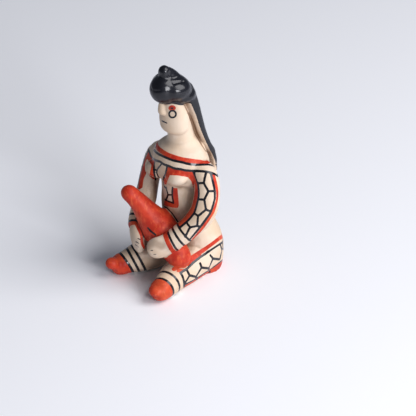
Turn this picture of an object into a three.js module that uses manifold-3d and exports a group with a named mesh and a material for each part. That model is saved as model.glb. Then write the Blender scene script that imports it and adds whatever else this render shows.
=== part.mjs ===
// Seated clay doll with a bottle gourd on its lap, modelled in one lump and fired as one piece.
// Millimetres. +Z is up, the doll faces -Y, its left hand is on +X, and it sits on Z = 0.
import * as THREE from "three";
import { mergeVertices } from "three/addons/utils/BufferGeometryUtils.js";
import Module from "manifold-3d";

// Heights above the ground
const headTop = 140;
const chinHeight = 102;
const shoulderHeight = 80;
const seatSink = 1.2; // how far the rolled clay is pressed flat under seat and legs

// Trunk and neck
const hipHalfWidth = 22.5;
const hipHalfDepth = 16.5;
const waistHalfWidth = 14;
const waistHalfDepth = 12.8;
const chestHalfWidth = 20;
const chestHalfDepth = 15.2;
const leftBreast = [8.4, -21.8, 76];
const rightBreast = [-11.4, -20.6, 72.6]; // lower and wider than the left one
const neckRadius = 8.6;
const neckY = -10;

// Head and hair
const headRadius = 10.2;
const headHalfDepth = 8.4;
const headY = -15.9;
const noseWidth = 3.2;
const noseX = -1.4; // pinched a little to the doll's right
const hairHalfWidth = 13.6;
const hairHeight = 135.4;
const topknotRadius = 4.3;
const topknotTop = 151;
const tailHalfWidth = 11.5;
const tailThickness = 4.4;

// Arms, hands and gourd
const armRadius = 7.6;
const wristRadius = 6.5;
const handThickness = 4.2;
const rightArmSlimmer = 1.4;
const rightShoulderDrop = 1.2;
const rightWristShift = [-2.1, -0.1, -1.6]; // the right hand lies wider and lower than the left one,
const rightTipsShift = [1.4, 1.3, -4.2]; // and its fingers reach under the left hand's
const gourdNeckRadius = 5.9;
const gourdRadius = 11.2;
const gourdEndRadius = 6.7;

// Legs
const thighRadius = 15;
const kneeRadius = 11.8;
const ankleRadius = 7.6;
const toeRadius = 4;
const rightFootShift = [-1.5, 1.2]; // the right foot points out a little more
const rightToeExtra = [3.4, 2.2]; // and its toe was pinched longer and higher
const rightCalfExtra = 0.7;

// Rings of facets in the dome at each end of a roll
const domeRings = 3;

const wasm = await Module();
wasm.setup();

function solidOf(geometry) {
  const bare = geometry.clone();
  bare.deleteAttribute("normal");
  bare.deleteAttribute("uv");
  const merged = mergeVertices(bare, 1e-4);
  return new wasm.Manifold(
    new wasm.Mesh({
      numProp: 3,
      vertProperties: merged.attributes.position.array,
      triVerts: new Uint32Array(merged.index.array),
    }),
  );
}

// A roll of clay along a curve. Each station is [x, y, z, half-width, half-depth]; the half-width is
// measured along the direction `across`. Each end closes over as a dome, `dome` times as tall as the
// roll is thick there, and `square` above 2 presses the round section towards a slab.
function roll(stations, { across = [1, 0, 0], dome = [1, 1], square = 2, sides = 20, rings = 16 } = {}) {
  const points = stations.map(([x, y, z]) => new THREE.Vector3(x, y, z));
  const sizes = stations.map(([, , , width, depth = width]) => new THREE.Vector3(width, depth, 0));
  const line = new THREE.CatmullRomCurve3(points, false, "catmullrom", 0.5);
  const girth = new THREE.CatmullRomCurve3(sizes, false, "catmullrom", 0.5);
  const last = points.length - 1;
  const first = (dome[0] * sizes[0].y) / points[0].distanceTo(points[1]) / last;
  const final = (dome[1] * sizes[last].y) / points[last].distanceTo(points[last - 1]) / last;
  const domeShare = domeRings / rings;
  const wide = new THREE.Vector3(...across);
  const press = (v) => Math.sign(v) * Math.abs(v) ** (2 / square);
  const geometry = new THREE.SphereGeometry(1, sides, rings);
  const position = geometry.attributes.position;
  for (let i = 0; i < position.count; i++) {
    const [x, y, z] = [position.getX(i), position.getY(i), position.getZ(i)];
    const ring = 1 - Math.acos(THREE.MathUtils.clamp(y, -1, 1)) / Math.PI;
    const rise = Math.min(1, Math.min(ring, 1 - ring) / domeShare) * (Math.PI / 2);
    const swell = Math.sin(rise);
    let along = first + ((ring - domeShare) / (1 - 2 * domeShare)) * (1 - first - final);
    if (ring < domeShare) along = first * (1 - Math.cos(rise));
    if (ring > 1 - domeShare) along = 1 - final * (1 - Math.cos(rise));
    const turn = Math.atan2(z, x);
    const tangent = line.getTangent(along);
    const side = wide.clone().addScaledVector(tangent, -wide.dot(tangent)).normalize();
    const depth = side.clone().cross(tangent);
    const size = girth.getPoint(along);
    const point = line
      .getPoint(along)
      .addScaledVector(side, size.x * swell * press(Math.cos(turn)))
      .addScaledVector(depth, size.y * swell * press(Math.sin(turn)));
    position.setXYZ(i, point.x, point.y, point.z);
  }
  return solidOf(geometry);
}

// One lump: an ellipsoid with its half-sizes, tipped forward by `tip` degrees.
function lump([x, y, z], [a, b, c], { tip = 0, sides = 22, rings = 14 } = {}) {
  const geometry = new THREE.SphereGeometry(1, sides, rings)
    .rotateX(Math.PI / 2)
    .scale(a, b, c)
    .rotateX(THREE.MathUtils.degToRad(tip))
    .translate(x, y, z);
  return solidOf(geometry);
}

const trunk = roll(
  [
    [0, 3, -12, hipHalfWidth - 6, hipHalfDepth - 4.5],
    [0, 0.8, 6, hipHalfWidth - 1.2, hipHalfDepth - 1],
    [0, -1.2, 20, hipHalfWidth, hipHalfDepth],
    [0, -4.6, 35, hipHalfWidth - 3.5, hipHalfDepth - 2.2],
    [0, -8, 48, waistHalfWidth + 2.2, waistHalfDepth + 0.6],
    [0, -9.4, 61, waistHalfWidth, waistHalfDepth],
    [0, -9.2, 69, waistHalfWidth + 2, waistHalfDepth + 0.4],
    [0, -10.6, 75.4, chestHalfWidth - 0.4, chestHalfDepth + 0.4],
    [0, -10.4, 83.4, chestHalfWidth, chestHalfDepth],
    [0, -9.6, 90.6, neckRadius + 6.2, neckRadius + 4.3],
    [0, neckY, 96, neckRadius, neckRadius + 0.4],
    [0, neckY - 2.2, 106, neckRadius - 0.2, neckRadius - 0.8],
    [0, neckY - 4.4, 118, neckRadius - 0.6, neckRadius - 1.6],
  ],
  { dome: [0.3, 0.6], sides: 24, rings: 28 },
);

const head = roll(
  [
    [0, headY + 0.2, chinHeight, headRadius - 0.6, headHalfDepth - 0.8],
    [0, headY, chinHeight + 11, headRadius, headHalfDepth + 0.2],
    [0, headY - 1.3, chinHeight + 18, headRadius - 0.4, headHalfDepth - 1.4],
    [0, headY - 2.8, chinHeight + 24.6, headRadius - 1.2, headHalfDepth - 2.8],
    [0, headY - 1, headTop, headRadius - 1, headHalfDepth - 1],
  ],
  { dome: [0.5, 0.5], sides: 22, rings: 13 },
);

const nose = roll(
  [
    [noseX, headY - headHalfDepth, 126.6, noseWidth * 0.7, 2],
    [noseX, headY - headHalfDepth - 0.5, 122, noseWidth * 0.8, 2.2],
    [noseX, headY - headHalfDepth - 0.7, 116.6, noseWidth, 2.3],
  ],
  { sides: 12, rings: 10 },
);

// The hair cap: a thick rolled rim over the brow and temples, a dome, and a ridge ending in a knob
const hair = [
  lump([0, -13.6, hairHeight - 6], [hairHalfWidth - 0.7, 11, 6], { tip: -8, sides: 22, rings: 11 }),
  lump([0, -18.2, hairHeight - 0.8], [hairHalfWidth - 0.4, 12, 8.4], { tip: -12, sides: 22, rings: 10 }),
  lump([0, -23.8, hairHeight - 0.2], [9, 9.6, 9.4], { sides: 20, rings: 10 }),
  lump([0, -18, hairHeight + 1], [9.4, 9.2, 6.6], { tip: -30, sides: 14, rings: 9 }),
  roll(
    [
      [0, -24.2, topknotTop - 3, 3.2],
      [0, -18.2, 142.8, 4.4, 3.8],
      [0, -11.4, 134.2, 6.2, 4.2],
    ],
    { sides: 14, rings: 12 },
  ),
  roll(
    [
      [0, -22.6, 137, topknotRadius + 1.6],
      [0, -23.4, 143.6, topknotRadius],
      [0, -24.4, topknotTop, topknotRadius - 0.8],
    ],
    { sides: 14, rings: 12 },
  ),
];

const tail = roll(
  [
    [0, -11.8, 136, tailHalfWidth - 3.2, tailThickness],
    [0, -9.3, 129, tailHalfWidth - 1.9, tailThickness],
    [0, -6.2, 118, tailHalfWidth - 0.2, tailThickness * 0.86],
    [0, -2.4, 104.4, tailHalfWidth, tailThickness * 0.7],
    [0, 2.3, 91.7, tailHalfWidth, tailThickness * 0.6],
    [0, 8.2, 80.8, tailHalfWidth - 0.2, tailThickness * 0.57],
    [0, 10.6, 65.2, tailHalfWidth - 1.6, tailThickness * 0.46],
  ],
  { dome: [0.6, 0.8], square: 4, sides: 20, rings: 16 },
);

const gourd = roll(
  [
    [-18, -43.5, 64.9, gourdNeckRadius - 0.7],
    [-11.8, -37.4, 56, gourdNeckRadius],
    [-7.1, -32.8, 46.7, gourdRadius * 0.72],
    [-2.4, -28.7, 37.2, gourdRadius],
    [9.8, -28.2, 28, gourdRadius * 0.79],
    [22.8, -27.2, 18.9, gourdEndRadius + 0.2],
  ],
  { sides: 20, rings: 18 },
);

function limbs(side) {
  const isRight = side < 0;
  const slimmer = isRight ? rightArmSlimmer : 0;
  const drop = isRight ? rightShoulderDrop : 0;
  const held = (x, y, z, share, towardsTips = 0) =>
    [side * x, y, z].map((value, i) => {
      const shift = rightWristShift[i] * (1 - towardsTips) + rightTipsShift[i] * towardsTips;
      return isRight ? value + shift * share : value;
    });
  const arm = roll(
    [
      [side * 13, -9.5, shoulderHeight + 0.4 - drop, armRadius],
      [side * 21.4, -9.7, shoulderHeight - 3.4 - drop, armRadius + 0.2 - slimmer / 4],
      [side * (25 + slimmer / 4), -11.7, 66, armRadius + 0.6 - slimmer],
      [side * (25.1 + slimmer / 4), -15.3, 54.4, armRadius + 0.6 - slimmer],
      [...held(21.6, -21.7, 45.4, 0.3), armRadius - 0.2, armRadius - 0.4],
      [...held(16.6, -30.4, 38, 0.8), wristRadius + 0.6, wristRadius],
      [...held(12.2, -36.6, 33.4, 1), wristRadius - 0.4, handThickness + 1],
    ],
    { across: [0, 0, 1], dome: [0.6, 0.6], sides: 18, rings: 20 },
  );
  const hand = roll(
    [
      [...held(16.2, -30.6, 37.4, 1), wristRadius - 0.4, wristRadius - 1],
      [...held(12.1, -36.6, 33.1, 1), wristRadius + 1.1, handThickness],
      [...held(8.4, -40.5, 31, 1, 0.5), wristRadius + 1, handThickness - 0.6],
      [...held(3.4, -43.2, 30.2, 1, 1), wristRadius - 1.4, handThickness - 1.6],
    ],
    { across: [0, 0, 1], sides: 16, rings: 12 },
  );
  const [out, back] = isRight ? rightFootShift : [0, 0];
  const calf = isRight ? rightCalfExtra : 0;
  const step = (x, y, share = 1) => [side * x + out * share, y + back * share];
  const leg = roll(
    [
      [side * 8.9, 1.2, thighRadius - seatSink, thighRadius],
      [side * 10.9, -6, 13.8 - seatSink, 13.8],
      [...step(13, -17, 0.3), kneeRadius - seatSink, kneeRadius],
      [...step(15.6 - calf, -32, 0.7), 9.4 + calf - seatSink / 2, 9.4 + calf],
      [...step(18.1, -42), ankleRadius - seatSink / 6, ankleRadius],
      [...step(18.8, -47.6), 7.4, 7, 6.8],
      [...step(19, -52.2), 8.8, toeRadius + 0.8, toeRadius],
    ],
    { across: [1, 0, 0], dome: [0.8, 0.9], sides: 20, rings: 20 },
  );
  const [reach, lift] = isRight ? rightToeExtra : [0, 0];
  const toe = roll(
    [
      [...step(18.9, -48.6), 8, toeRadius + 2, toeRadius + 0.8],
      [...step(19.2, -51.2 - reach * 0.6), 9.6 + lift * 0.6, toeRadius + 0.6, toeRadius],
      [...step(19.4, -52.6 - reach), 11.6 + lift, toeRadius - 0.5, toeRadius - 0.6],
    ],
    { sides: 12, rings: 10 },
  );
  const [breastX, breastY, breastZ] = isRight ? rightBreast : leftBreast;
  const breast = lump([breastX, breastY, breastZ], [8.4, 7, 5], { tip: 10, sides: 18, rings: 10 });
  return [arm, hand, leg, toe, breast];
}

const lumps = [trunk, head, nose, ...hair, tail, gourd, ...limbs(1), ...limbs(-1)];
const joined = lumps.reduce((whole, lumpOfClay) => whole.add(lumpOfClay));
const ground = solidOf(new THREE.BoxGeometry(200, 200, 60).translate(0, 0, -30));
const doll = joined.subtract(ground);

function meshOf(solid, name, colour) {
  const made = solid.getMesh();
  const geometry = new THREE.BufferGeometry();
  geometry.setAttribute("position", new THREE.BufferAttribute(new Float32Array(made.vertProperties), 3));
  geometry.setIndex(new THREE.BufferAttribute(new Uint32Array(made.triVerts), 1));
  geometry.computeVertexNormals();
  const mesh = new THREE.Mesh(geometry, new THREE.MeshStandardMaterial({ color: colour, roughness: 0.6 }));
  mesh.name = name;
  return mesh;
}

const figure = new THREE.Group();
figure.add(meshOf(doll, "clay_doll", 0xe6d5c4));

// The origin is the middle of the footprint, on the ground
const box = new THREE.Box3().setFromObject(figure);
const middle = box.getCenter(new THREE.Vector3());
figure.position.set(-middle.x, -middle.y, -box.min.z);

export default figure;
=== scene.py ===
import math

import bmesh
import bpy
import numpy as np
from mathutils import Matrix, Vector, noise
from mathutils.bvhtree import BVHTree


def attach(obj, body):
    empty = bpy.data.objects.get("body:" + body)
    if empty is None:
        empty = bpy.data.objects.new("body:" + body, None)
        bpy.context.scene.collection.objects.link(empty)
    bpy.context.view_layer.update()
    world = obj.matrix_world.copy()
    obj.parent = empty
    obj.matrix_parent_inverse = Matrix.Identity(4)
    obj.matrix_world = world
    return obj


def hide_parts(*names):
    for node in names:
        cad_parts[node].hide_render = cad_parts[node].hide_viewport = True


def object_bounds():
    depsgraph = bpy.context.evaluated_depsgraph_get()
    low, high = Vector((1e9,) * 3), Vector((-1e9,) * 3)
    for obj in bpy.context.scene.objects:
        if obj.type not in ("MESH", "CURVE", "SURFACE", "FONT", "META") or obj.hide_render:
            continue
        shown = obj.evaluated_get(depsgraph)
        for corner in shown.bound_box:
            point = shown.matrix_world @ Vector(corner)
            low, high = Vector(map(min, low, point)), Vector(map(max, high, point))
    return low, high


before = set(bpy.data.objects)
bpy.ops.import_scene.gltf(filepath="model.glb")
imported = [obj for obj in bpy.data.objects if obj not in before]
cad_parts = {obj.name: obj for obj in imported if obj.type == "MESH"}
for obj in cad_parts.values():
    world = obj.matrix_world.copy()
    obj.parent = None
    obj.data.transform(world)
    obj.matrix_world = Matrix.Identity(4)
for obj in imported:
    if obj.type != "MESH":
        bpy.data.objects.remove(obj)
cadBox = [list(corner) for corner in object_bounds()]

# Lengths are millimetres unless a name or a note says metres, and angles are degrees. The doll faces
# -Y and its left hand is on +X. Places on the doll count from the middle of its seat, on the ground.
metresPerMm = 0.001
seatToArm = 33.7145  # from the middle of the seat to the outside of the left arm
seatToBack = 16.193  # and to the hindmost point of the hips
seat = np.array([cadBox[1][0] / metresPerMm - seatToArm, cadBox[1][1] / metresPerMm - seatToBack, 0])

photoView = {
    "azimuth": 47,
    "elevation": 32,
    "lens": 190.4,
    "sensor": 36,
    "imageSize": 416,
    "pixelsPerMm": 1.55,
    "seatPixel": (194, 260),  # where the photograph shows the middle of the seat
}


# The camera's place, its right, up and forward directions, and its focal length in pixels
def cameraPose():
    a = math.radians(photoView["azimuth"])
    e = math.radians(photoView["elevation"])
    right = np.array([math.cos(a), math.sin(a), 0])
    forward = np.array([-math.sin(a) * math.cos(e), math.cos(a) * math.cos(e), -math.sin(e)])
    up = np.cross(right, forward)
    focal = photoView["lens"] / photoView["sensor"] * photoView["imageSize"]
    distance = focal / photoView["pixelsPerMm"]
    middle = photoView["imageSize"] / 2
    u, v = photoView["seatPixel"]
    place = -forward * distance
    place = place - right * (u - middle) / focal * distance - up * (middle - v) / focal * distance
    return place, right, up, forward, focal


def makeCamera():
    place, right, up, forward, focal = cameraPose()
    camera = bpy.data.objects.new("photoCamera", bpy.data.cameras.new("photoCamera"))
    camera.data.lens = photoView["lens"]
    camera.data.sensor_width = photoView["sensor"]
    turn = Matrix((right, up, -forward)).transposed()
    camera.matrix_world = Matrix.Translation((place + seat) * metresPerMm) @ turn.to_4x4()
    bpy.context.scene.collection.objects.link(camera)
    bpy.context.scene.camera = camera


makeCamera()
print("camera placed")


# A smooth curve through given points, cut into steps of about the given length
def curveThrough(points, step=1.0):
    points = np.array(points, float)
    if len(points) == 2:
        return straightThrough(points, step)
    ends = np.vstack([2 * points[0] - points[1], points, 2 * points[-1] - points[-2]])
    made = [points[:1]]
    for before, start, end, after in zip(ends[:-3], ends[1:-2], ends[2:-1], ends[3:]):
        count = max(1, math.ceil(np.linalg.norm((end - start)[:3]) / step))
        t = np.linspace(0, 1, count + 1)[1:, None]
        leave = (end - before) / 2
        arrive = (after - start) / 2
        made.append(
            (2 * t**3 - 3 * t**2 + 1) * start
            + (t**3 - 2 * t**2 + t) * leave
            + (3 * t**2 - 2 * t**3) * end
            + (t**3 - t**2) * arrive
        )
    return np.vstack(made)


def straightThrough(points, step=1.0):
    points = np.array(points, float)
    made = [points[:1]]
    for start, end in zip(points[:-1], points[1:]):
        count = max(1, math.ceil(np.linalg.norm(end - start) / step))
        made.append(start + np.linspace(0, 1, count + 1)[1:, None] * (end - start))
    return np.vstack(made)


clay = {
    "node": "clay_doll",
    "weld": 0.01,
    "voxel": 0.66,
    "smoothing": {"factor": 0.5, "rounds": 14},
    "rollStep": 1.6,  # between the sections that a roll is measured at
    "dome": 0.8,  # how tall the closed end of a roll is, in half widths
    "tailSquareness": 4,  # 2 is an oval section, and more is a flat one with round edges
    "farAway": 40.0,
    "underside": 0.35,  # clay lower than this lies on the ground
    "unevenness": [(13, 0.22), (5, 0.07)],  # size of the hand-made bumps, and how far they rise
}


# One even skin over the modelled lumps, with the joins between them smoothed over as wet clay is
def makeForm():
    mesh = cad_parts[clay["node"]].data.copy()
    work = bmesh.new()
    work.from_mesh(mesh)
    bmesh.ops.remove_doubles(work, verts=work.verts, dist=clay["weld"] * metresPerMm)
    work.to_mesh(mesh)
    work.free()
    lumps = bpy.data.objects.new("lumps", mesh)
    bpy.context.scene.collection.objects.link(lumps)
    skin = lumps.modifiers.new("skin", "REMESH")
    skin.mode = "VOXEL"
    skin.voxel_size = clay["voxel"] * metresPerMm
    skin.use_smooth_shade = True
    soften = lumps.modifiers.new("soften", "SMOOTH")
    soften.factor = clay["smoothing"]["factor"]
    soften.iterations = clay["smoothing"]["rounds"]
    depsgraph = bpy.context.evaluated_depsgraph_get()
    skinned = bpy.data.meshes.new_from_object(lumps.evaluated_get(depsgraph))
    bpy.data.objects.remove(lumps)
    doll = bpy.data.objects.new("painted_clay_doll", skinned)
    bpy.context.scene.collection.objects.link(doll)
    return doll


def placesOf(mesh):
    flat = np.zeros(len(mesh.vertices) * 3, np.float32)
    mesh.vertices.foreach_get("co", flat)
    return flat.reshape(-1, 3).astype(float) / metresPerMm - seat


def normalsOf(mesh):
    flat = np.zeros(len(mesh.vertices) * 3, np.float32)
    mesh.vertex_normals.foreach_get("vector", flat)
    return flat.reshape(-1, 3).astype(float)


def movePlaces(mesh, places):
    mesh.vertices.foreach_set("co", ((places + seat) * metresPerMm).astype(np.float32).ravel())
    mesh.update()


doll = makeForm()
form = doll.data
print("clay form:", len(form.polygons), "faces")

# The lumps of clay as the solid has them: x, y, z, half width and, where it differs, half depth
lumpsOfClay = {
    "trunk": [
        (0, 3, -12, 16.5, 12),
        (0, 0.8, 6, 21.3, 15.5),
        (0, -1.2, 20, 22.5, 16.5),
        (0, -4.6, 35, 19, 14.3),
        (0, -8, 48, 16.2, 13.4),
        (0, -9.4, 61, 14, 12.8),
        (0, -9.2, 69, 16, 13.2),
        (0, -10.6, 75.4, 19.6, 15.6),
        (0, -10.4, 83.4, 20, 15.2),
        (0, -9.6, 90.6, 14.8, 12.9),
        (0, -10, 96, 8.6, 9),
        (0, -12.2, 106, 8.4, 7.8),
    ],
    "head": [
        (0, -15.7, 102, 9.6, 7.6),
        (0, -15.9, 113, 10.2, 8.6),
        (0, -17.2, 120, 9.8, 7),
        (0, -18.7, 126.6, 9, 5.6),
        (0, -16.9, 140, 9.2, 7.4),
    ],
    "nose": [(-1.4, -24.3, 126.6, 2.24, 2), (-1.4, -24.8, 122, 2.56, 2.2), (-1.4, -25, 116.6, 3.2, 2.3)],
    "tail": [
        (0, -11.8, 136, 8.3, 4.4),
        (0, -9.3, 129, 9.6, 4.4),
        (0, -6.2, 118, 11.3, 3.78),
        (0, -2.4, 104.4, 11.5, 3.08),
        (0, 2.3, 91.7, 11.5, 2.64),
        (0, 8.2, 80.8, 11.3, 2.51),
        (0, 10.6, 65.2, 9.9, 2.02),
    ],
    "hair ridge": [(0, -24.2, 148, 3.2), (0, -18.2, 142.8, 4.4, 3.8), (0, -11.4, 134.2, 6.2, 4.2)],
    "hair knob": [(0, -22.6, 137, 5.9), (0, -23.4, 143.6, 4.3), (0, -24.4, 151, 3.5)],
    "gourd": [
        (-18, -43.5, 64.9, 5.2),
        (-11.8, -37.4, 56, 5.9),
        (-7.1, -32.8, 46.7, 8.06),
        (-2.4, -28.7, 37.2, 11.2),
        (9.8, -28.2, 28, 8.85),
        (22.8, -27.2, 18.9, 6.9),
    ],
}
hairLumps = [
    {"at": (0, -13.6, 129.4), "radii": (12.9, 11, 6), "tip": -8},
    {"at": (0, -18.2, 134.6), "radii": (13.2, 12, 8.4), "tip": -12},
    {"at": (0, -23.8, 135.2), "radii": (9, 9.6, 9.4), "tip": 0},
    {"at": (0, -18, 136.4), "radii": (9.4, 9.2, 6.6), "tip": -30},
]
rightArm = {"wrist": (-2.1, -0.1, -1.6), "tips": (1.4, 1.3, -4.2), "slimmer": 1.4, "drop": 1.2}
rightLeg = {"foot": (-1.5, 1.2), "toe": (3.4, 2.2), "calf": 0.7}


def limbStations(side):
    def held(x, y, z, share, towardsTips=0):
        wrist, tips = np.array(rightArm["wrist"]), np.array(rightArm["tips"])
        shift = (wrist * (1 - towardsTips) + tips * towardsTips) * share * (side < 0)
        return tuple(np.array((side * x, y, z)) + shift)

    def step(x, y, share=1):
        out, back = np.array(rightLeg["foot"]) * share * (side < 0)
        return (side * x + out, y + back)

    reach, lift = np.array(rightLeg["toe"]) * (side < 0)
    slimmer = rightArm["slimmer"] * (side < 0)
    drop = rightArm["drop"] * (side < 0)
    calf = rightLeg["calf"] * (side < 0)
    arm = [
        (side * 13, -9.5, 80.4 - drop, 7.6),
        (side * 21.4, -9.7, 76.6 - drop, 7.8 - slimmer / 4),
        (side * (25 + slimmer / 4), -11.7, 66, 8.2 - slimmer),
        (side * (25.1 + slimmer / 4), -15.3, 54.4, 8.2 - slimmer),
        (*held(21.6, -21.7, 45.4, 0.3), 7.4, 7.2),
        (*held(16.6, -30.4, 38, 0.8), 7.1, 6.5),
        (*held(12.2, -36.6, 33.4, 1), 6.1, 5.2),
    ]
    hand = [
        (*held(16.2, -30.6, 37.4, 1), 6.1, 5.5),
        (*held(12.1, -36.6, 33.1, 1), 7.6, 4.2),
        (*held(8.4, -40.5, 31, 1, 0.5), 7.5, 3.6),
        (*held(3.4, -43.2, 30.2, 1, 1), 5.1, 2.6),
    ]
    leg = [
        (side * 8.9, 1.2, 13.8, 15),
        (side * 10.9, -6, 12.6, 13.8),
        (*step(13, -17, 0.3), 10.6, 11.8),
        (*step(15.6 - calf, -32, 0.7), 8.8 + calf, 9.4 + calf),
        (*step(18.1, -42), 7.4, 7.6),
        (*step(18.8, -47.6), 7.4, 7, 6.8),
        (*step(19, -52.2), 8.8, 4.8, 4),
    ]
    toe = [
        (*step(18.9, -48.6), 8, 6, 4.8),
        (*step(19.2, -51.2 - reach * 0.6), 9.6 + lift * 0.6, 4.6, 4),
        (*step(19.4, -52.6 - reach), 11.6 + lift, 3.5, 3.4),
    ]
    return {"arm": arm, "hand": hand, "leg": leg, "toe": toe}


# How far each place is from a roll of clay, and how far back it lies in the roll's thickness
def gapToRoll(places, stations, wide=(1, 0, 0), square=2):
    line = curveThrough([(*s, s[-1]) if len(s) == 4 else s for s in stations], clay["rollStep"])
    best = np.full(len(places), clay["farAway"])
    through = np.zeros(len(places))
    tangents = np.gradient(line[:, :3], axis=0)
    run = np.append(0, np.cumsum(np.linalg.norm(np.diff(line[:, :3], axis=0), axis=1)))
    toEnd = np.minimum(run / line[0, 4], (run[-1] - run) / line[-1, 4]) / clay["dome"]
    line[:, 3:] *= np.sqrt(1 - (1 - np.clip(toEnd, 0.02, 1)) ** 2)[:, None]  # both ends close as domes
    for station, tangent in zip(line, tangents):
        tangent = tangent / np.linalg.norm(tangent)
        side = np.array(wide) - tangent * np.dot(wide, tangent)
        side = side / np.linalg.norm(side)
        depth = np.cross(side, tangent)
        offset = places - station[:3]
        a = offset @ side
        b = offset @ depth
        c = offset @ tangent
        cross = np.abs(a / station[3]) ** square + np.abs(b / station[4]) ** square
        far = (cross ** (2 / square) + (c / station[4]) ** 2) ** 0.5
        gap = (far - 1) * station[4]
        nearer = gap < best
        best[nearer] = gap[nearer]
        through[nearer] = b[nearer]
    return best, through


def gapToLump(places, at, radii, tip):
    t = math.radians(tip)
    offset = places - np.array(at)
    y = offset[:, 1] * math.cos(t) + offset[:, 2] * math.sin(t)
    z = -offset[:, 1] * math.sin(t) + offset[:, 2] * math.cos(t)
    far = ((offset[:, 0] / radii[0]) ** 2 + (y / radii[1]) ** 2 + (z / radii[2]) ** 2) ** 0.5
    return (far - 1) * min(radii)


# The gap from each place to each part of the doll, and how far back it lies in the tail
def gapsToParts(places):
    gaps = {name: gapToRoll(places, stations)[0] for name, stations in lumpsOfClay.items()}
    gaps["tail"], through = gapToRoll(places, lumpsOfClay["tail"], square=clay["tailSquareness"])
    for name, side in (("left", 1), ("right", -1)):
        for limb, stations in limbStations(side).items():
            wide = (1, 0, 0) if limb in ("leg", "toe") else (0, 0, 1)
            gaps[name + " " + limb] = gapToRoll(places, stations, wide)[0]
        gaps[name + " arm"] = np.minimum(gaps[name + " arm"], gaps.pop(name + " hand"))
        gaps[name + " leg"] = np.minimum(gaps[name + " leg"], gaps.pop(name + " toe"))
    gaps["head"] = np.minimum(gaps["head"], gaps.pop("nose"))
    hair = [gapToLump(places, **lump) for lump in hairLumps]
    hair += [gaps.pop("hair ridge"), gaps.pop("hair knob")]
    gaps["hair"] = np.min(hair, axis=0)
    return gaps, through


# Hand-shaped clay is never quite even
def unevenness(places):
    rise = np.zeros(len(places))
    for size, height in clay["unevenness"]:
        rise += height * np.array([noise.noise(Vector(place / size)) for place in places])
    return rise


places = placesOf(form)
places += normalsOf(form) * unevenness(places)[:, None]
room = np.array(cadBox) / metresPerMm - seat
places = np.clip(places, room[0], room[1])
places[places[:, 2] < clay["underside"], 2] = 0
movePlaces(form, places)
normals = normalsOf(form)
print("clay shaped by hand")


def meshTree(mesh, places):
    faces = [tuple(face.vertices) for face in mesh.polygons]
    return BVHTree.FromPolygons([tuple(place) for place in places], faces)


surface = meshTree(form, places)
cameraPlace, cameraRight, cameraUp, cameraForward, cameraFocal = cameraPose()


# The point of the doll that the photograph shows at a pixel, and which way the clay faces there. With
# orEdge, a pixel just off the doll gives the point of its outline that is nearest
def seenAt(u, v, orEdge=False):
    middle = photoView["imageSize"] / 2
    ray = cameraForward + cameraRight * (u - middle) / cameraFocal + cameraUp * (middle - v) / cameraFocal
    ray = ray / np.linalg.norm(ray)
    hit = surface.ray_cast(Vector(cameraPlace), Vector(ray))
    if hit[0] is None and orEdge:
        beside = -cameraPlace @ ray
        for _ in range(3):
            hit = surface.find_nearest(Vector(cameraPlace + ray * beside))
            beside = (np.array(hit[0]) - cameraPlace) @ ray
    return None if hit[0] is None else (*hit[0], *hit[1])


def pixelsOf(places):
    offset = places - cameraPlace
    depth = offset @ cameraForward
    middle = photoView["imageSize"] / 2
    u = middle + cameraFocal * (offset @ cameraRight) / depth
    v = middle - cameraFocal * (offset @ cameraUp) / depth
    return u, v


brush = {
    "step": 1.2,  # pixels between the points of a stroke
    "gap": 5,  # a stroke that leaps further than this goes on behind something
    "reach": 4,
    "turn": 0.15,  # a stroke colours clay that faces at least this much the way that it faces
    "tooFar": 9.0,
}
noPaint = -9.0
sight = {
    "edgeOn": 0.16,  # clay that faces the camera less than this hardly shows
    "lift": 0.5,  # a line of sight starts this far off the clay
    "outline": 0.05,  # a shape drawn on the photograph reaches clay that faces it this much
}


def inRuns(points):
    runs = [[]]
    for point in points:
        leaps = point is not None and runs[-1] and math.dist(point[:3], runs[-1][-1][:3]) > brush["gap"]
        if point is None or leaps:
            runs.append([])
        if point is not None:
            runs[-1].append(point)
    return [np.array(run) for run in runs if len(run) > 1]


# A brush stroke through pixels of the photograph, as points on the clay
def seen(pixels, corners=False, orEdge=False):
    path = straightThrough(pixels, brush["step"]) if corners else curveThrough(pixels, brush["step"])
    return inRuns([seenAt(u, v, orEdge) for u, v in path])


def onSurface(points):
    found = [surface.find_nearest(Vector(point)) for point in points]
    return inRuns([(*hit[0], *hit[1]) for hit in found])


# The same stroke on the other side of the doll
def mirrored(runs):
    turned = []
    for run in runs:
        turned += onSurface(run[:, :3] * (-1, 1, 1))
    return turned


def distanceTo(runs):
    nearest = np.full(len(places), brush["tooFar"])
    for run in runs:
        points = run[:, :3]
        low = points.min(axis=0) - brush["reach"]
        high = points.max(axis=0) + brush["reach"]
        near = np.flatnonzero(np.all((places > low) & (places < high), axis=1))
        if not len(near):
            continue
        start = points[:-1]
        along = points[1:] - start
        length = np.maximum((along**2).sum(axis=1), 1e-9)
        offset = places[near][:, None, :] - start[None]
        share = np.clip((offset * along).sum(axis=2) / length, 0, 1)
        distance = np.linalg.norm(offset - share[..., None] * along, axis=2)
        closest = distance.argmin(axis=1)
        distance = distance[np.arange(len(near)), closest]
        agrees = (normals[near] * run[closest, 3:]).sum(axis=1)
        distance = np.where(agrees > brush["turn"], distance, brush["tooFar"])
        nearest[near] = np.minimum(nearest[near], distance)
    return nearest


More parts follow.
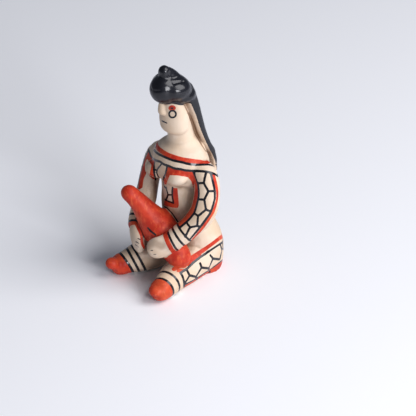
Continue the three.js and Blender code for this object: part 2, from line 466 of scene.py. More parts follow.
# Lines pressed or left between two lumps of clay: how deep, how wide, and where they are seen
grooves = {
    "fold in the hair": {"depth": 0.75, "width": 0.9, "pixels": [(174, 83.2), (178.6, 82), (183.6, 81.4)]},
    "under the knob": {
        "depth": 0.5,
        "width": 1,
        "pixels": [(158.6, 74), (161.5, 77.6), (165.5, 78.6), (169.4, 76.6), (170.4, 72.6)],
    },
    "nick in the hair": {"depth": 0.35, "width": 0.5, "pixels": [(154.4, 91), (160, 91)]},
    "tail on the cheek": {
        "depth": 0.7,
        "width": 0.8,
        "pixels": [(184.4, 104.6), (187.8, 112), (192.4, 122), (195.6, 131), (198.2, 138)],
    },
    "tail on the neck": {"depth": 0.6, "width": 0.8, "pixels": [(198.2, 138), (202.5, 146), (206.5, 152)]},
    "slipper's tip": {"depth": 0.5, "width": 0.5, "pixels": [(151.4, 295.4), (155.4, 297.4), (159.6, 298)]},
}
pressed = np.zeros(len(places))
for groove in grooves.values():
    runs = seen(groove["pixels"])
    distance = distanceTo(runs + mirrored(runs))
    pressed = np.maximum(pressed, groove["depth"] * np.exp(-((distance / groove["width"]) ** 2)))
places -= normals * pressed[:, None]
movePlaces(form, places)
normals = normalsOf(form)
surface = meshTree(form, places)
gaps, tailThrough = gapsToParts(places)
print("creases pressed in")


# Which places of the clay the photograph shows, but for those seen almost edge on
def shownPlaces():
    toCamera = cameraPlace - places
    toCamera = toCamera / np.linalg.norm(toCamera, axis=1)[:, None]
    shown = (toCamera * normals).sum(axis=1) > sight["edgeOn"]
    for index in np.flatnonzero(shown):
        start = Vector(places[index] + normals[index] * sight["lift"])
        shown[index] = surface.ray_cast(start, Vector(toCamera[index]))[0] is None
    return shown


shown = shownPlaces()
print("places shown in the photograph:", int(shown.sum()))

# Paint, and the painted shade of the crease line and the shade marks, is kept as the depth in millimetres
# inside its edge, below nothing where there is none
paintDepth = {name: np.full(len(places), noPaint) for name in ("black", "red", "brown", "stain")}


# How far inside the named parts each place is, where they meet the others
def within(names, slack=0.0):
    named = np.min([gaps[name] for name in names], axis=0)
    others = np.min([gap for name, gap in gaps.items() if name not in names], axis=0)
    return others - named + slack


def lay(colour, inside, only=None):
    if only is not None:
        inside = np.minimum(inside, only)
    paintDepth[colour] = np.maximum(paintDepth[colour], inside)


def layBehind(colour, inside, only=None):
    lay(colour, np.where(shown, noPaint, inside), only)


def stroke(colour, half, pixels, both=False, corners=False, only=None):
    runs = seen(pixels, corners)
    lay(colour, half - distanceTo(runs), only)
    if both:
        layBehind(colour, half - distanceTo(mirrored(runs)), only)


sides = {False: (1, 1, 1), True: (-1, 1, 1)}  # the doll as it is, and flipped


# How far inside a shape drawn on the photograph each place is, in millimetres
def insidePixels(corners, flipped=False):
    u, v = pixelsOf(places * sides[flipped])
    facing = (normals * sides[flipped]) @ -cameraForward
    corners = np.array(corners, float)
    inside = np.zeros(len(places), bool)
    nearest = np.full(len(places), np.inf)
    for (u0, v0), (u1, v1) in zip(corners, np.roll(corners, -1, axis=0)):
        crosses = (v0 > v) != (v1 > v)
        rise = v1 - v0 if v1 != v0 else 1e-9
        inside ^= crosses & (u < (u1 - u0) * (v - v0) / rise + u0)
        length = max((u1 - u0) ** 2 + (v1 - v0) ** 2, 1e-9)
        share = np.clip(((u - u0) * (u1 - u0) + (v - v0) * (v1 - v0)) / length, 0, 1)
        nearest = np.minimum(nearest, np.hypot(u - u0 - share * (u1 - u0), v - v0 - share * (v1 - v0)))
    depth = np.where(inside, nearest, -nearest) / photoView["pixelsPerMm"]
    return np.where(facing > sight["outline"], depth, noPaint)


# A shape from the photograph on the clay that shows there, and its mirror image on the rest
def layShape(colour, corners, only, both=True):
    lay(colour, np.where(shown, insidePixels(corners), noPaint), only)
    if both:
        layBehind(colour, insidePixels(corners, flipped=True), only)


# The doll's hair and its tail: black outside, bare clay on the tail's inner face
hairPaint = {
    "shape": [
        (130, 50), (215, 50), (205, 103), (191, 103.8), (188.6, 102.8), (185, 102), (180, 103.2),
        (172, 103.8), (165, 103.6), (157.4, 103.4), (130, 103),
    ],
    "overlap": 0.9,  # how far the black runs past the roll of hair
    "crown": 133,  # everything on the head is black above this height
    "tail edge": [(191.2, 104), (196, 115.3), (200.9, 130), (208.6, 147.4), (212.6, 154.8), (216.6, 164.8)],
    "tail thickness": 0.4,  # the tail is black further back in its thickness than this
    "crease": 0.42,
}
onHair = within(["hair", "head", "tail", "trunk"])
lay("black", within(["hair"], hairPaint["overlap"]), hairPaint["overlap"] - gaps["hair"])
layShape("black", hairPaint["shape"], onHair + 0.5)
lay("black", places[:, 2] - hairPaint["crown"], onHair)
tailEdge = np.vstack(seen(hairPaint["tail edge"]))
tailEdge = tailEdge[np.argsort(tailEdge[:, 2])]
tailInside = np.interp(places[:, 2], tailEdge[:, 2], tailEdge[:, 0])
tailBlack = np.maximum(np.abs(places[:, 0]) - tailInside, tailThrough - hairPaint["tail thickness"])
lay("black", tailBlack, within(["tail", "hair"], 0.2))
# Painted shadow: a thin dark brown line along the crease where the tail meets the cheek and the neck
crease = grooves["tail on the cheek"]["pixels"] + grooves["tail on the neck"]["pixels"][1:]
stroke("brown", hairPaint["crease"], crease, both=True)

# The gourd is red as far as its skin, but the lap that its end rests on stays bare
gourdPaint = {
    "skin": 0.5,
    "rest": [
        (160, 256), (165, 260.6), (170, 264.6), (178.3, 268.4), (185, 267.8), (190.6, 263.4), (192.8, 257),
        (202, 256), (202, 282), (156, 282),
    ],
}
onGourd = np.minimum(gourdPaint["skin"] - gaps["gourd"], -insidePixels(gourdPaint["rest"]))
lay("red", within(["gourd"], -0.2), onGourd)
print("hair and gourd painted")

ringReach = 14  # a ring round a limb colours nothing further from its middle than this


def middleLine(stations, step):
    return curveThrough([station[:3] for station in stations], step)


# A flat cut through a limb, across two points seen on it, as a signed distance along the limb
def acrossLimb(stations, pixels):
    first, second = (np.array(seenAt(*pixel, orEdge=True)[:3]) for pixel in pixels)
    line = middleLine(stations, 1)
    nearest = np.linalg.norm(line - (first + second) / 2, axis=1).argmin()
    along = line[min(nearest + 1, len(line) - 1)] - line[max(nearest - 1, 0)]
    chord = (second - first) / np.linalg.norm(second - first)
    facing = along - chord * (along @ chord)
    facing = facing / np.linalg.norm(facing)
    distance = (places - first) @ facing
    far = np.linalg.norm(places - (first + second) / 2, axis=1)
    return distance, ringReach - far


# Each ring is seen at two points, and the first one of each leg is where its slipper begins
ankles = {
    "half": 0.82,
    "left": [((157.2, 278.4), (173.2, 294.4)), ((161, 272), (179.2, 290)), ((162.5, 266.6), (180.6, 275))],
    "right": [((121.4, 254.4), (130.6, 273)), ((127.4, 249.6), (137.6, 272)), ((133.4, 245.6), (145.4, 270))],
}
for name, side in (("left", 1), ("right", -1)):
    leg = limbStations(side)["leg"]
    onLeg = within([name + " leg"], 0.5)
    for index, ring in enumerate(ankles[name]):
        distance, near = acrossLimb(leg, ring)
        if index == 0:
            lay("red", distance, onLeg)
        lay("black", ankles["half"] - np.abs(distance), np.minimum(onLeg, near))
print("feet painted")

neckline = {
    "red": {
        "half": 1.5,
        "pixels": [
            (155.9, 144.2), (157.8, 148.1), (162.2, 151.7), (168, 155.1), (173.8, 157.2), (179.6, 159),
            (185.4, 160.2), (191.3, 161), (197, 161.8), (204, 162.1), (209.5, 161.6), (212.3, 162.8),
        ],
    },
    "upper line": {
        "half": 0.8,
        "pixels": [
            (154, 149.9), (156.4, 152.5), (160.4, 155.1), (166.3, 157.7), (172.1, 160.1), (176.7, 161.2),
            (182.5, 162.4), (188.4, 163.9), (194.2, 164.7), (199.7, 164.7), (205, 164.5), (210, 164.8),
            (215.5, 166.8),
        ],
    },
    "lower line": {
        "half": 0.82,
        "pixels": [
            (148.5, 149.3), (149.7, 152.8), (151.4, 156.9), (155.2, 160.1), (160.4, 161.8), (163.9, 164.4),
            (168.6, 165.9), (173.8, 168.2), (179.6, 169.1), (185.4, 170.3), (191.3, 170.8), (199.7, 171.1),
            (205, 171.5), (210, 172.5), (215, 174.2), (217.5, 176),
        ],
    },
}


# A line that the photograph shows up to the doll's outline goes on round its far side
def goneRound(runs):
    farEnd = min(run[:, 0].min() for run in runs)
    rest = []
    for run in mirrored(runs):
        hidden = run[run[:, 0] < farEnd + 1]
        if len(hidden) > 1:
            rest.append(hidden)
    return runs + rest


back = {
    "points": 60,  # in a line that goes round the back
    "bar points": 6,
    "link points": 10,
    "shoulders": -8,  # where the middle of the shoulders is, as the seat's is at 0
    "outside": 60,  # a ray towards the hips starts this far out
}


# From its near end it goes on at the same height round the back, under the tail
def underTail(runs):
    end = max(np.vstack(runs), key=lambda point: point[1])
    reach = math.atan2(end[0], end[1] - back["shoulders"])
    points = []
    for angle in np.linspace(reach, -reach, back["points"]):
        out = Vector((math.sin(angle), math.cos(angle), 0))
        hit = surface.ray_cast(Vector((0, back["shoulders"], end[2])), out)
        points.append(None if hit[0] is None else (*hit[0], *hit[1]))
    return runs + inRuns(points)


for name, line in neckline.items():
    paint = "red" if name == "red" else "black"
    runs = underTail(goneRound(seen(line["pixels"])))
    lay(paint, line["half"] - distanceTo(runs), within(["trunk", "left arm", "right arm"], 0.6))
print("neckline painted")

# Painted shade: clay darkened where shade falls, under the near breast, beside the left arm's inner edge, on
# the near hand and on the far leg's inner side
paintedShades = [
    {"part": "trunk", "half": 1, "pixels": [(179, 187), (184, 187), (190, 189.4)]},
    {
        "part": "trunk",
        "half": 0.6,
        "pixels": [(191.4, 190), (192, 199), (189.6, 208), (184, 217), (178, 223)],
    },
    {"part": "left arm", "half": 2, "pixels": [(148, 246), (154, 243), (161, 246)]},
    {"part": "right leg", "half": 3.5, "pixels": [(146, 262), (153, 264), (158, 262)]},
]
for stain in paintedShades:
    inside = stain["half"] - distanceTo(seen(stain["pixels"]))
    lay("stain", inside, within([stain["part"]], 0.5))

# The middle strip and the red frames round the breasts
chest = {
    "frame": [
        (167.5, 166.6), (176, 169), (186, 171), (193.8, 172.3), (195.3, 176.9), (197.6, 183.6),
        (198.6, 190), (198.6, 196), (197, 203.7), (194.3, 212.4), (190.8, 217.4), (186.6, 221.8),
        (179.5, 227.8), (179, 225.4), (181.9, 223.4), (188, 216), (192.8, 207), (194.8, 197),
        (193.5, 187.6), (191.2, 181), (187.9, 177.2), (177.9, 175.5), (169.8, 175.2), (167.4, 181),
        (166.8, 184.5), (164.4, 184.4), (163.4, 180.2), (165.5, 173.5),
    ],
    "box frame": [
        (173.5, 187.8), (177.4, 188.2), (178.2, 196), (178.9, 205), (177.9, 208), (172.5, 207.7),
        (163.8, 205), (164.5, 200.4), (173.2, 203.4), (172.3, 195),
    ],
    "far frame": [
        (148.7, 151.4), (155.1, 161.5), (154, 167.5), (153.8, 176.9), (155.8, 179.9), (153.1, 179.2),
        (149.4, 176.2), (151.4, 164.8), (147, 158.8), (146, 160.5), (145, 163.5), (145, 170.2),
        (146.4, 173), (143.7, 179), (142.4, 187.6), (137.6, 190.6), (139.6, 176), (143.4, 162),
    ],
    "lines": [
        {"half": 0.7, "pixels": [(154.8, 160.6), (154.1, 166), (154.1, 172), (155.6, 179.4)]},
        {
            "half": 0.7,
            "pixels": [(167.2, 166.2), (165.5, 173.5), (163.1, 180.2), (164.5, 186.9), (166.4, 187.6)],
        },
        {"half": 0.6, "pixels": [(161.8, 163.5), (157.1, 170.2), (157.8, 175.5), (160.8, 179.9)]},
        {"half": 0.6, "pixels": [(154.4, 169.8), (157.1, 170.2)]},
        {"half": 0.7, "pixels": [(165.8, 187.6), (167.8, 194.6), (165.8, 200)]},
        {"half": 0.6, "pixels": [(167.8, 194.8), (172.4, 195)]},
        {"half": 0.7, "pixels": [(172.6, 187.6), (172.2, 195), (173.4, 202.8)]},
        {"half": 0.7, "pixels": [(165, 199.6), (169, 201.6), (173.4, 203)]},
        {
            "half": 0.7,
            "pixels": [
                (148.4, 150.5), (145.6, 156), (143.6, 162), (141.8, 168), (140.2, 174.5), (137.3, 187),
            ],
        },
    ],
    "fold": {"half": 0.5, "pixels": [(164, 206.5), (167.5, 208.4), (172.5, 213.7), (177.9, 221.8)]},
}
onUpperBody = within(["trunk", "left arm", "right arm"], 0.8)
layShape("red", chest["frame"], onUpperBody)
layShape("red", chest["box frame"], onUpperBody)
layShape("red", chest["far frame"], onUpperBody, both=False)
for line in chest["lines"]:
    stroke("black", **line, only=onUpperBody)
stroke("black", **chest["fold"], both=True, only=within(["trunk"], 0.4))
print("chest painted")

# The arms' strip of cells: black borders, a jointed spine with bars to them, and red outside
arms = {
    "outer red half": 1.15,
    "border half": 0.84,
    "cell half": 0.74,
    "inner": [
        (193.6, 171.4), (195.3, 176.9), (197.6, 183.6), (198.6, 190), (198.6, 196), (197, 203.7),
        (194.3, 212.4), (190.8, 217.4), (186.6, 221.8), (179.5, 227.8),
    ],
    "inner side": [(176, 222), (184, 213), (189, 204), (190, 190), (189, 178)],
    "outer": [
        (210.7, 172.9), (213, 182.2), (214.7, 190.3), (214.8, 196), (214.4, 200.3), (210.9, 211.7),
        (205.7, 219.6), (198.6, 229.1), (189.6, 239.8),
    ],
    "outer red": [
        (213.6, 175), (216, 184), (217.4, 192), (216.8, 201), (213.4, 211.6), (208, 220.4), (200.6, 230.6),
        (191.4, 240.8),
    ],
    "spine": [
        (206, 172.9), (204.7, 178.2), (203.7, 182.9), (208.3, 191.3), (204.3, 199.7), (206, 209.7),
        (198, 216.1), (197.3, 226), (190, 227.3), (185.2, 236.7),
    ],
    "bars": [
        [(203.7, 182.9), (197.8, 183.3)],
        [(208.3, 191.3), (214.6, 191)],
        [(204.3, 199.7), (198, 199.2)],
        [(206, 209.7), (211, 211.4)],
        [(198, 216.1), (194, 212.8)],
        [(197.3, 226), (200.8, 226.6)],
        [(190, 227.3), (186.4, 222.4)],
    ],
    "wrist": [
        {"colour": "black", "half": 0.72, "pixels": ((179, 227.6), (188.8, 239.6))},
        {"colour": "black", "half": 0.76, "pixels": ((173.6, 231), (184.6, 245.4))},
        {"colour": "black", "half": 0.76, "pixels": ((168.6, 234.4), (177.4, 250))},
        {"colour": "red", "half": 1.5, "pixels": ((165.4, 235.4), (174, 252.4))},
    ],
}
innerSide = arms["inner"] + arms["inner side"]
layShape("red", innerSide, within(["left arm"], -0.2), both=False)
layBehind("red", insidePixels(innerSide, flipped=True), within(["right arm"], -0.2))
stroke("red", arms["outer red half"], arms["outer red"], both=True, only=onUpperBody)
for name in ("inner", "outer"):
    stroke("black", arms["border half"], arms[name], both=True, only=onUpperBody)
for line in [arms["spine"], *arms["bars"]]:
    stroke("black", arms["cell half"], line, both=True, corners=True, only=onUpperBody)


# A cut square to a limb at a share of its length, as a signed distance along the limb
def squareTo(stations, share):
    line = middleLine(stations, 0.5)
    index = int(share * (len(line) - 1))
    along = line[min(index + 2, len(line) - 1)] - line[max(index - 2, 0)]
    along = along / np.linalg.norm(along)
    return (places - line[index]) @ along, ringReach - np.linalg.norm(places - line[index], axis=1)


# The right wrist has its rings at the same shares of the arm's length as the left one
for ring in arms["wrist"]:
    for side, name in ((1, "left"), (-1, "right")):
        stations = limbStations(side)["arm"] + limbStations(side)["hand"][2:]
        if side > 0:
            distance, near = acrossLimb(stations, ring["pixels"])
            line = middleLine(stations, 0.5)
            middle = sum(np.array(seenAt(*pixel, orEdge=True)[:3]) for pixel in ring["pixels"]) / 2
            ring["share"] = np.linalg.norm(line - middle, axis=1).argmin() / (len(line) - 1)
        else:
            distance, near = squareTo(stations, ring["share"])
        lay(ring["colour"], ring["half"] - np.abs(distance), np.minimum(near, within([name + " arm"], 0.5)))
print("arms painted")

# The hem round the hips: a red band, a strip of cells between black lines, and red on the ground
hem = {
    "red half": 1.4,
    "line half": 0.8,
    "cell half": 0.84,
    "ground line half": 0.75,
    "back half": 0.7,
    "top red": [(223, 235.6), (212.6, 243.6), (200, 252.4), (187, 260.6), (174, 269.2)],
    "top line": [(222.4, 242.4), (212.4, 249), (200.6, 257), (193.4, 262.6), (187.6, 268), (180.4, 273)],
    "red by the gourd": [
        (201, 250), (201.4, 256.4), (193.4, 262), (187.6, 267.4), (180.4, 272.4), (176.4, 272), (178, 268),
        (185, 266), (190, 262), (192.6, 256),
    ],
    "front line": [(180.4, 273), (182.4, 276), (183.8, 281), (184.2, 287)],
    "bottom": [(222.4, 260), (214.4, 266.4), (204.4, 273.2), (194.2, 279.8), (184, 285)],
    "spine": [
        (184, 284.8), (189.6, 275.4), (196, 276.8), (201.6, 267.6), (208.8, 268.4), (213, 258.6),
        (219.8, 259.4), (222, 250),
    ],
    "bars": [
        [(189.6, 275.4), (187.2, 270.6)],
        [(196, 276.8), (197.4, 280.2)],
        [(201.6, 267.6), (200.2, 263.4)],
        [(208.8, 268.4), (209.6, 272)],
        [(213, 258.6), (210.4, 255.4)],
        [(222, 250), (220.6, 245)],
    ],
    "cells behind": 4,
    "zigzag": (0.32, 0.68),  # how high the corners between the cells behind are, as shares of the strip
    "hips from": -4,  # ahead of this the ground line keeps to the outer half of each leg
    "overlap": 1,  # and behind it, it runs this far past the middle of the back
    "underneath": -0.75,  # clay that faces down this much is bare
}
onHips = within(["trunk", "left leg", "right leg"], 2)


# A point of the hips' back, seen from behind at an angle from straight back and a height
def behind(angle, height):
    out = Vector((math.sin(math.radians(angle)), math.cos(math.radians(angle)), 0))
    hit = surface.ray_cast(Vector((0, 0, height)) + out * back["outside"], -out)
    return (*hit[0], *hit[1])


# A stroke seen on the near hip, the same on the far one, and level round the back between them
def aroundBack(seenRuns, colour, half):
    end = max(np.vstack(seenRuns), key=lambda point: point[1])
    reach = math.degrees(math.atan2(end[0], end[1]))
    angles = np.linspace(reach, -reach, back["points"])
    hindmost = inRuns([behind(angle, end[2]) for angle in angles])
    lay(colour, half - distanceTo(seenRuns + mirrored(seenRuns) + hindmost), onHips)
    return end[2], reach


aroundBack(seen(hem["top red"]), "red", hem["red half"])
top, reach = aroundBack(seen(hem["top line"]), "black", hem["line half"])
bottomLine = np.vstack(seen(hem["bottom"], orEdge=True))
bottomLine = bottomLine[np.argsort(bottomLine[:, 1])]
bottom = bottomLine[-1, 2]
layShape("red", hem["red by the gourd"], onHips)
stroke("black", hem["line half"], hem["front line"], both=True, only=onHips)
for line in [hem["spine"], *hem["bars"]]:
    stroke("black", hem["cell half"], line, both=True, corners=True, only=onHips)

# The line near the ground follows the height that the photograph shows, on the outside of each leg
lineHeight = np.interp(places[:, 1], bottomLine[:, 1], bottomLine[:, 2])
front = seenAt(*hem["front line"][-1], orEdge=True)[1]
for side in (1, -1):
    axis = middleLine(limbStations(side)["leg"], 1)
    axis = axis[np.argsort(axis[:, 1])]
    outward = side * (places[:, 0] - np.interp(places[:, 1], axis[:, 1], axis[:, 0]))
    outward = np.where(places[:, 1] > hem["hips from"], side * places[:, 0] + hem["overlap"], outward)
    only = np.minimum(np.minimum(onHips, outward), places[:, 1] - front)
    only = np.where(normals[:, 2] < hem["underneath"], noPaint, only)
    lay("red", lineHeight - places[:, 2], only)
    lay("black", hem["ground line half"] - np.abs(places[:, 2] - lineHeight), only)


# The cells behind: a zigzag between the lines, with a short bar from each corner to the nearer line
def straightBehind(start, end, count):
    points = [behind(*corner) for corner in np.linspace(start, end, count)]
    lay("black", hem["back half"] - distanceTo(inRuns(points)), onHips)


corners = []
for index, angle in enumerate(np.linspace(reach, -reach, 2 * hem["cells behind"] + 1)):
    low = index % 2
    share = hem["zigzag"][0 if low else 1]
    corners.append((angle, bottom + (top - bottom) * share))
    straightBehind(corners[-1], (angle, bottom if low else top), back["bar points"])
for start, end in zip(corners[:-1], corners[1:]):
    straightBehind(start, end, back["link points"])
print("hem painted")

# Eyes, cheek rings and mouth. The left half shows in the photograph, and the right half mirrors it
face = {
    "eye": {"at": (172.1, 108), "size": (3.75, 2.75)},
    "pupil": {"at": (172, 108.2), "size": (2.1, 0.75)},
    "ring outside": {"at": (172.5, 114.1), "size": (4.4, 4.4)},
    "ring inside": {"at": (172.5, 114.1), "size": (2.5, 2.5)},
    "mouth": {"half": 0.52, "pixels": [(161.8, 120.8), (164, 121.8), (166.8, 123)]},
    "turn": 0.2,  # the eyes colour clay that faces the camera, or its mirror image, this much
}
onHead = within(["head"], -0.2)


# How far inside an oval on the photograph each place is, in millimetres
def oval(flipped, at, size):
    u, v = pixelsOf(places * sides[flipped])
    far = np.hypot((u - at[0]) / size[0], (v - at[1]) / size[1])
    return (1 - far) * min(size) / photoView["pixelsPerMm"]


for flipped in (False, True):
    facing = (normals * sides[flipped]) @ -cameraForward
    only = np.where((facing > face["turn"]) & (shown | flipped), onHead, noPaint)
    lay("red", oval(flipped, **face["eye"]), only)
    lay("black", oval(flipped, **face["pupil"]), only)
    ring = np.minimum(oval(flipped, **face["ring outside"]), -oval(flipped, **face["ring inside"]))
    lay("black", ring, only)
stroke("black", **face["mouth"], only=onHead)

hands = {
    "knuckle half": 0.34,
    "knuckles": [
        [(150.6, 250.6), (152.6, 250.4)],
        [(153.6, 254.6), (155.8, 254.4)],
        [(137.8, 238.4), (140, 239.6)],
        [(135.6, 241.4), (139, 243.4)],
        [(135.4, 244.8), (138.6, 247)],
    ],
    "far edge": {"half": 0.9, "pixels": [(135, 222), (138.5, 229), (141.4, 236), (142.4, 244), (147, 252)]},
    "far line": {"half": 0.5, "pixels": [(136, 218), (140, 227), (144, 237)]},
    "thumb": {"half": 0.66, "pixels": [(148, 228), (150.6, 231), (155.4, 234.8)]},
}
for knuckle in hands["knuckles"]:
    stroke("black", hands["knuckle half"], knuckle, only=within(["left arm", "right arm"], 0.6))
stroke("red", **hands["far edge"], only=within(["right arm"], 1))
# The far line is black paint along the gourd's edge, and partly the painted shadow of the gap between the
# gourd and the far hand
stroke("black", **hands["far line"])
stroke("black", **hands["thumb"])
print("face and hands painted")


# How the paint is kept, and how the hollows and hidden sky that the painted shade follows are measured
paintAndShade = {
    "deepest": 3,  # paint deeper than this inside its edge is all the same
    "evening": 10,  # rounds that even the clay out, to tell its hollows
    "rays": 14,
    "rayTurn": 2.39996,  # the golden angle, so that the rays spread evenly over the sky
    "rayLift": 0.3,
    "near": 16,
}


def keep(mesh, name, values):
    mesh.attributes.new(name, "FLOAT", "POINT").data.foreach_set("value", values.astype(np.float32))


# How deep each place lies in a fold of the clay
def hollowness(mesh):
    edges = np.zeros(len(mesh.edges) * 2, np.int32)
    mesh.edges.foreach_get("vertices", edges)
    edges = edges.reshape(-1, 2)
    count = np.bincount(edges.ravel(), minlength=len(places))[:, None]
    even = places.copy()
    for _ in range(paintAndShade["evening"]):
        total = np.zeros_like(even)
        np.add.at(total, edges[:, 0], even[edges[:, 1]])
        np.add.at(total, edges[:, 1], even[edges[:, 0]])
        even = total / np.maximum(count, 1)
    return ((even - places) * normals).sum(axis=1)


# How much of the sky above each place is hidden by clay close by
def shelter():
    turns = np.arange(paintAndShade["rays"]) * paintAndShade["rayTurn"]
    rises = (np.arange(paintAndShade["rays"]) + 0.5) / paintAndShade["rays"]
    flat = np.sqrt(1 - rises)
    sky = np.column_stack([flat * np.cos(turns), flat * np.sin(turns), np.sqrt(rises)])
    aside = np.cross(normals, np.where(np.abs(normals[:, 2:]) < 0.9, (0, 0, 1), (1, 0, 0)))
    aside /= np.linalg.norm(aside, axis=1)[:, None]
    ahead = np.cross(normals, aside)
    starts = [Vector(place) for place in places + normals * paintAndShade["rayLift"]]
    hidden = np.zeros(len(places))
    for a, b, c in sky:
        ways = [Vector(way) for way in aside * a + ahead * b + normals * c]
        hits = [surface.ray_cast(start, way, paintAndShade["near"]) for start, way in zip(starts, ways)]
        hidden += [hit[0] is not None for hit in hits]
    return hidden / paintAndShade["rays"]


for name, depth in paintDepth.items():
    keep(form, name, np.clip(depth, -paintAndShade["deepest"], paintAndShade["deepest"]))
# Hollows and hidden sky, where the shader paints shade
keep(form, "hollow", hollowness(form))
keep(form, "sheltered", shelter())
print("paint kept on the clay")


# A shader value that Python can calculate with
class Value:
    def __init__(self, graph, socket):
        self.graph = graph
        self.socket = socket

    def math(self, operation, other):
        return self.graph.add("ShaderNodeMath", {"operation": operation}, {0: self, 1: other})[0]

    def __add__(self, other):
        return self.math("ADD", other)

    def __radd__(self, other):
        return self + other

    def __sub__(self, other):
        return self.math("SUBTRACT", other)

    def __rsub__(self, other):
        return self * -1 + other

    def __mul__(self, other):
        return self.math("MULTIPLY", other)

    def __rmul__(self, other):
        return self * other

    def larger(self, other):
        return self.math("MAXIMUM", other)

    # 0 below low, 1 above high, and soft between them
    def ramp(self, low, high):
        sockets = {"Value": self, "From Min": low, "From Max": high}
        return self.graph.add("ShaderNodeMapRange", {"interpolation_type": "SMOOTHSTEP"}, sockets)[0]


class Graph:
    def __init__(self, material):
        material.use_nodes = True
        self.tree = material.node_tree
        self.tree.nodes.clear()

    def add(self, kind, settings=None, sockets=None):
        node = self.tree.nodes.new(kind)
        for name, value in (settings or {}).items():
            setattr(node, name, value)
        for name, value in (sockets or {}).items():
            if isinstance(value, Value):
                self.tree.links.new(value.socket, node.inputs[name])
            else:
                node.inputs[name].default_value = value
        return [Value(self, socket) for socket in node.outputs]

    def attribute(self, name):
        return self.add("ShaderNodeAttribute", {"attribute_name": name})[2]  # its number

    # Specks of about the given size in millimetres, fixed to the piece
    def noise(self, size, detail, stretch=(1, 1, 1)):
        place = self.add("ShaderNodeTexCoord")[3]  # Object coordinates
        scaled = self.add("ShaderNodeMapping", None, {"Vector": place, "Scale": stretch})[0]
        sockets = {"Vector": scaled, "Scale": 1 / (size * metresPerMm), "Detail": detail}
        return self.add("ShaderNodeTexNoise", None, sockets)[0]

    # Sockets 6, 7 and 2 are the ones for colours
    def mix(self, share, first, second):
        return self.add("ShaderNodeMix", {"data_type": "RGBA"}, {0: share, 6: first, 7: second})[2]

    def bump(self, height, distance, strength):
        sockets = {"Height": height, "Distance": distance, "Strength": strength}
        return self.add("ShaderNodeBump", None, sockets)[0]

    def surface(self, sockets):
        shader = self.add("ShaderNodeBsdfPrincipled", None, sockets)[0]
        self.add("ShaderNodeOutputMaterial", None, {"Surface": shader})


# A colour written as on a computer screen, in the linear values that a shader takes
def colour(code):
    channels = [int(code[i : i + 2], 16) / 255 for i in (1, 3, 5)]
    return [c / 12.92 if c <= 0.04045 else ((c + 0.055) / 1.055) ** 2.4 for c in channels] + [1]


glaze = {
    "clay": colour("#d6c3b0"),
    "clayWarm": colour("#cfb69c"),
    "clayPale": colour("#ddcdbf"),
    # Painted shade: the dark brown that hollows, folds, the crease and shaded places are painted with
    "fold": colour("#6b4629"),
    "red": colour("#c33c25"),
    "redThickAndShade": colour("#ab2a1a"),
    "redThin": colour("#d8643a"),
    "black": colour("#07080c"),
    "blackThin": colour("#131217"),
    "clayRoughness": 0.52,
    "redRoughness": 0.46,
    "blackRoughness": 0.5,
    "blackCoat": 0.65,
    "coatRoughness": 0.17,
    "coatTint": colour("#dedfff"),
    "gloss": 0.2,
    # How far the edge of each paint strays, and how soft it is
    "edges": {"black": (0.34, 0.09), "red": (0.3, 0.1), "brown": (0.3, 0.15)},
    "bump": {"distance": 0.2 * metresPerMm, "strength": 0.6},
    # The size of each kind of speck, its detail, and how it is stretched
    "grain": {
        "wobble": (1.1, 2),
        "fine": (0.35, 3),
        "middle": (5, 4),
        "broad": (22, 3),
        "streaks": (1.6, 4, (1, 1, 0.22)),
    },
}


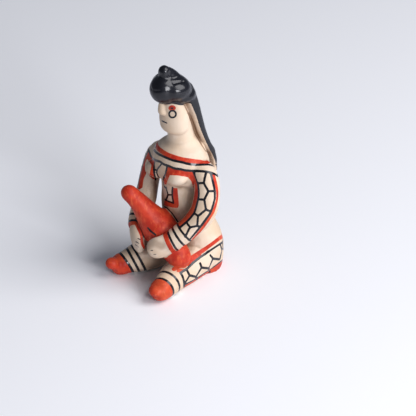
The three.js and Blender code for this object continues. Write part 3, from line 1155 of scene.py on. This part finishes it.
def paintedClay():
    material = bpy.data.materials.new("painted_clay")
    g = Graph(material)
    grain = {name: g.noise(*settings) for name, settings in glaze["grain"].items()}
    fine, middle, broad, streaks = (grain[name] for name in ("fine", "middle", "broad", "streaks"))
    wobble = grain["wobble"] - 0.5
    uneven = middle - 0.5

    def painted(name):
        stray, soft = glaze["edges"][name]
        return (g.attribute(name) + wobble * stray).ramp(-soft, soft)

    # Where each paint lies, and where shade is painted in hollows, in folds and where nearby clay hides the
    # sky
    black, red, brown = (painted(name) for name in ("black", "red", "brown"))
    stain = (g.attribute("stain") + uneven * 2).ramp(-2, 1)
    hollow = g.attribute("hollow").ramp(0.02, 0.45)
    sheltered = g.attribute("sheltered").ramp(0.2, 0.9)

    skin = g.mix(broad.ramp(0.35, 0.65), glaze["clay"], glaze["clayWarm"])
    skin = g.mix(middle.ramp(0.5, 0.75) * 0.5, skin, glaze["clayPale"])
    skin = g.mix(streaks.ramp(0.5, 0.8) * 0.25, skin, glaze["clayWarm"])
    # Painted shade: clay darkened towards brown where nearby clay hides the sky, at the painted shade marks,
    # in hollows and along the crease
    skin = g.mix((sheltered * 0.65).larger(stain * 0.45), skin, glaze["fold"])
    skin = g.mix(hollow.larger(brown) * 0.8, skin, glaze["fold"])
    redPaint = g.mix(middle.ramp(0.35, 0.65), glaze["red"], glaze["redThickAndShade"])
    redPaint = g.mix(broad.ramp(0.5, 0.62) * 0.35, redPaint, glaze["redThin"])
    redPaint = g.mix(streaks.ramp(0.5, 0.75) * 0.6, redPaint, glaze["redThin"])
    # Painted shade: red darkened in hollows and where nearby clay hides the sky
    redPaint = g.mix(hollow.larger(sheltered) * 0.6, redPaint, glaze["redThickAndShade"])
    blackPaint = g.mix(streaks.ramp(0.5, 0.8) * 0.5, glaze["black"], glaze["blackThin"])
    shade = g.mix(black, g.mix(red, skin, redPaint), blackPaint)

    rough = glaze["clayRoughness"] + uneven * 0.16
    rough = rough * (1 - red) + red * (glaze["redRoughness"] + uneven * 0.14)
    rough = rough * (1 - black) + black * (glaze["blackRoughness"] + uneven * 0.12)
    # Paint stands a little proud of the clay, and black paint fills its grain
    height = (fine * 0.25 + middle * 0.5 + streaks * 0.3) * (1 - black * 0.7) + black * 0.5 + red * 0.3
    g.surface({
        "Base Color": shade,
        "Roughness": rough,
        "Normal": g.bump(height, **glaze["bump"]),
        "Specular IOR Level": glaze["gloss"],
        "Coat Weight": black * glaze["blackCoat"],
        "Coat Roughness": glaze["coatRoughness"],
        "Coat Tint": glaze["coatTint"],
    })
    return material


form.materials.clear()
form.materials.append(paintedClay())
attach(doll, "root")
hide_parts("clay_doll")
print("clay painted and fired")

# Places and sizes in the studio are metres
studio = {
    "floor": colour("#f4f5fa"),
    "floorSize": 8,
    "floorRoughness": 0.55,
    "world": colour("#dae4f5"),
    "worldStrength": 0.19,
    "aim": (0, 0, 0.06),
    "key": {"at": (0.95, 0.55, 1.25), "size": 1.2, "watts": 24.5, "colour": (1, 0.985, 0.98)},
    "side": {"at": (1.4, -0.25, 0.62), "size": 0.55, "watts": 15, "colour": (0.97, 0.975, 1)},
}


# A square lamp that faces the doll
def softbox(name, at, size, watts, colour):
    lamp = bpy.data.lights.new(name, "AREA")
    lamp.size = size
    lamp.energy = watts
    lamp.color = colour
    box = bpy.data.objects.new(name, lamp)
    box.location = at
    box.rotation_euler = (Vector(studio["aim"]) - Vector(at)).to_track_quat("-Z", "Y").to_euler()
    bpy.context.scene.collection.objects.link(box)


def makeStudio():
    bpy.ops.mesh.primitive_plane_add(size=studio["floorSize"])
    floor = bpy.context.object
    floor.name = "studio_floor"
    paper = bpy.data.materials.new("studio_floor")
    Graph(paper).surface({"Base Color": studio["floor"], "Roughness": studio["floorRoughness"]})
    floor.data.materials.append(paper)
    world = bpy.data.worlds.new("studio")
    bpy.context.scene.world = world
    world.use_nodes = True
    background = world.node_tree.nodes["Background"]
    background.inputs["Color"].default_value = studio["world"]
    background.inputs["Strength"].default_value = studio["worldStrength"]
    softbox("keyLight", **studio["key"])
    softbox("sideLight", **studio["side"])
    bpy.context.scene.view_settings.view_transform = "Standard"


makeStudio()
print("studio lit")
